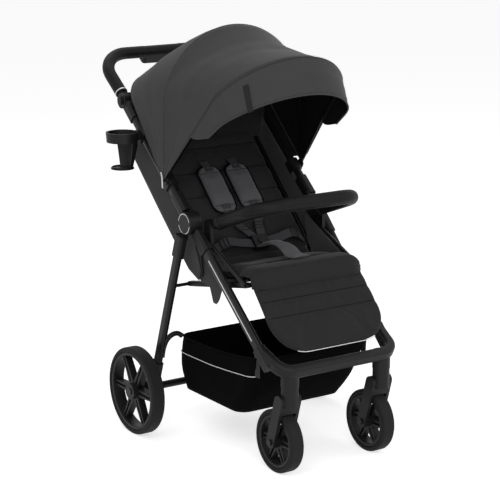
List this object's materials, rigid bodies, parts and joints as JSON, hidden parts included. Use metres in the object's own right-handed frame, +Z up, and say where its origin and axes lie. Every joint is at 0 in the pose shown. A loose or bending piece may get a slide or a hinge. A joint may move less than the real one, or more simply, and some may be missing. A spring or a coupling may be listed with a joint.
{
  "type": "baby stroller",
  "caption": "Folding baby stroller with swivel front casters, spoked wheels, padded seat, bumper bar, hood, calf rest, basket and tilting push handle.",
  "frame": {"origin": "on the floor, under the middle of the overall box", "axes": "+Z up, front towards -Y, the pusher's left towards +X"},
  "size_m": [0.6316, 0.9062, 1.0801],
  "materials": {
    "frame_paint": "satin black powder coat",
    "moulded_plastic": "fine textured black moulding",
    "rim_plastic": "black moulded wheel",
    "tyre_rubber": "matt foamed tyre",
    "steel": "plated steel pin",
    "bright_trim": "bright metallised trim",
    "leatherette": "stitched grained leatherette",
    "canopy_cloth": "charcoal melange canopy cloth",
    "seat_cloth": "black woven polyester",
    "harness_pad": "grey padded cloth",
    "webbing": "black woven webbing",
    "basket_cloth": "black woven polyester"
  },
  "bodies": {
    "front_frame": {"front_legs": "frame_paint", "front_knuckles": "moulded_plastic", "front_crossbar": "moulded_plastic", "stem_bushes": "moulded_plastic", "hinge_pins": "steel", "hinge_caps": "moulded_plastic", "bright_trims": "bright_trim", "seat_frame": "frame_paint", "seat_pan": "moulded_plastic", "seat_cushion": "seat_cloth", "seat_side_panels": "seat_cloth", "crotch_pad": "harness_pad", "buckle": "moulded_plastic", "basket": "basket_cloth"},
    "buckle_release": {"buckle_button": "moulded_plastic"},
    "left_swivel_lock": {"swivel_lock_left": "moulded_plastic"},
    "right_swivel_lock": {"swivel_lock_right": "moulded_plastic"},
    "bumper": {"bumper_bar": "leatherette"},
    "calf_rest": {"calf_cushion": "seat_cloth", "calf_board": "moulded_plastic"},
    "left_fork": {"caster_fork_left": "moulded_plastic", "front_axle_left": "steel"},
    "right_fork": {"caster_fork_right": "moulded_plastic", "front_axle_right": "steel"},
    "left_front_wheel": {"front_tyre_left": "tyre_rubber", "front_rim_left": "rim_plastic"},
    "right_front_wheel": {"front_tyre_right": "tyre_rubber", "front_rim_right": "rim_plastic"},
    "rear_frame": {"rear_legs": "frame_paint", "rear_knuckles": "moulded_plastic", "rear_axle_tube": "frame_paint", "rear_axle_stubs": "steel", "wheel_drums": "moulded_plastic"},
    "left_rear_wheel": {"rear_tyre_left": "tyre_rubber", "rear_rim_left": "rim_plastic"},
    "right_rear_wheel": {"rear_tyre_right": "tyre_rubber", "rear_rim_right": "rim_plastic"},
    "brake": {"brake_pedal": "moulded_plastic"},
    "handle_frame": {"handle_tubes": "frame_paint", "handle_knuckles": "moulded_plastic", "handle_clevises": "moulded_plastic", "tilt_pins": "steel", "canopy_clips": "moulded_plastic", "cup_holder": "moulded_plastic", "seat_wings": "seat_cloth", "canopy_rear_panel": "canopy_cloth"},
    "handle_grip": {"push_handle": "leatherette", "grip_rings": "bright_trim", "latch_housing": "moulded_plastic"},
    "left_tilt_release": {"tilt_button_left": "moulded_plastic"},
    "right_tilt_release": {"tilt_button_right": "moulded_plastic"},
    "fold_release": {"fold_trigger": "moulded_plastic"},
    "backrest": {"backrest_cushion": "seat_cloth", "backrest_shell": "moulded_plastic", "shoulder_pads": "harness_pad", "harness_straps": "webbing"},
    "canopy_main": {"main_bow": "moulded_plastic", "canopy_front_panel": "canopy_cloth"},
    "canopy_front": {"front_bow": "moulded_plastic", "visor": "canopy_cloth"}
  },
  "joints": [
    {"name": "handle_fold", "type": "hinge", "parent": "front_frame", "child": "handle_frame", "pos_m": [0, -0.049, 0.589], "axis": [1, 0, 0], "range_deg": [0, 120], "deforming": ["basket", "canopy_rear_panel", "canopy_front_panel"]},
    {"name": "rear_leg_fold", "type": "hinge", "parent": "front_frame", "child": "rear_frame", "pos_m": [0, -0.049, 0.589], "axis": [1, 0, 0], "range_deg": [-50, 0], "deforming": ["basket"]},
    {"name": "bumper_fold", "type": "hinge", "parent": "front_frame", "child": "bumper", "pos_m": [0, -0.099, 0.59], "axis": [1, 0, 0], "range_deg": [0, 20]},
    {"name": "calf_tilt", "type": "hinge", "parent": "front_frame", "child": "calf_rest", "pos_m": [0, -0.26898, 0.46609], "axis": [1, 0, 0], "range_deg": [-50, 0]},
    {"name": "recline", "type": "hinge", "parent": "handle_frame", "child": "backrest", "pos_m": [0, -0.07049, 0.46018], "axis": [1, 0, 0], "range_deg": [-30, 0]},
    {"name": "canopy_rear", "type": "hinge", "parent": "handle_frame", "child": "canopy_main", "pos_m": [0, 0.04866, 0.68714], "axis": [1, 0, 0], "range_deg": [-40, 0], "deforming": ["canopy_rear_panel"]},
    {"name": "canopy_fold", "type": "hinge", "parent": "canopy_main", "child": "canopy_front", "pos_m": [0, 0.04866, 0.68714], "axis": [1, 0, 0], "range_deg": [-38, 0], "deforming": ["canopy_front_panel"]},
    {"name": "handle_tilt", "type": "hinge", "parent": "handle_frame", "child": "handle_grip", "pos_m": [0, 0.27645, 0.86696], "axis": [1, 0, 0], "range_deg": [-30, 30]},
    {"name": "fold_trigger_pull", "type": "slide", "parent": "handle_grip", "child": "fold_release", "axis": [0, -0.5878, 0.809], "range_m": [0, 0.006], "stiffness_N_per_m": 300},
    {"name": "left_tilt_press", "type": "slide", "parent": "handle_frame", "child": "left_tilt_release", "axis": [-1, 0, 0], "range_m": [0, 0.003], "stiffness_N_per_m": 300},
    {"name": "right_tilt_press", "type": "slide", "parent": "handle_frame", "child": "right_tilt_release", "axis": [1, 0, 0], "range_m": [0, 0.003], "stiffness_N_per_m": 300},
    {"name": "buckle_press", "type": "slide", "parent": "front_frame", "child": "buckle_release", "axis": [0, 0.7042, -0.71], "range_m": [0, 0.0025], "stiffness_N_per_m": 300},
    {"name": "brake_press", "type": "hinge", "parent": "rear_frame", "child": "brake", "pos_m": [0, 0.085, 0.118], "axis": [1, 0, 0], "range_deg": [-20, 0]},
    {"name": "left_swivel", "type": "hinge", "parent": "front_frame", "child": "left_fork", "pos_m": [0.1435, -0.413, 0.2345], "axis": [0, 0, 1], "continuous": true},
    {"name": "left_front_roll", "type": "hinge", "parent": "left_fork", "child": "left_front_wheel", "pos_m": [0.1435, -0.371, 0.082], "axis": [1, 0, 0], "continuous": true},
    {"name": "left_rear_roll", "type": "hinge", "parent": "rear_frame", "child": "left_rear_wheel", "pos_m": [0.2915, 0.085, 0.118], "axis": [1, 0, 0], "continuous": true},
    {"name": "left_swivel_lock", "type": "slide", "parent": "front_frame", "child": "left_swivel_lock", "axis": [0, 0, -1], "range_m": [0, 0.005]},
    {"name": "right_swivel", "type": "hinge", "parent": "front_frame", "child": "right_fork", "pos_m": [-0.1435, -0.413, 0.2345], "axis": [0, 0, 1], "continuous": true},
    {"name": "right_front_roll", "type": "hinge", "parent": "right_fork", "child": "right_front_wheel", "pos_m": [-0.1435, -0.371, 0.082], "axis": [1, 0, 0], "continuous": true},
    {"name": "right_rear_roll", "type": "hinge", "parent": "rear_frame", "child": "right_rear_wheel", "pos_m": [-0.2915, 0.085, 0.118], "axis": [1, 0, 0], "continuous": true},
    {"name": "right_swivel_lock", "type": "slide", "parent": "front_frame", "child": "right_swivel_lock", "axis": [0, 0, -1], "range_m": [0, 0.005]}
  ],
  "couplings": [
    {"joint": "rear_leg_fold", "follows": "handle_fold", "ratio": -0.41667},
    {"joint": "bumper_fold", "follows": "handle_fold", "ratio": 0.16667},
    {"joint": "canopy_rear", "follows": "handle_fold", "ratio": -0.33333}
  ]
}
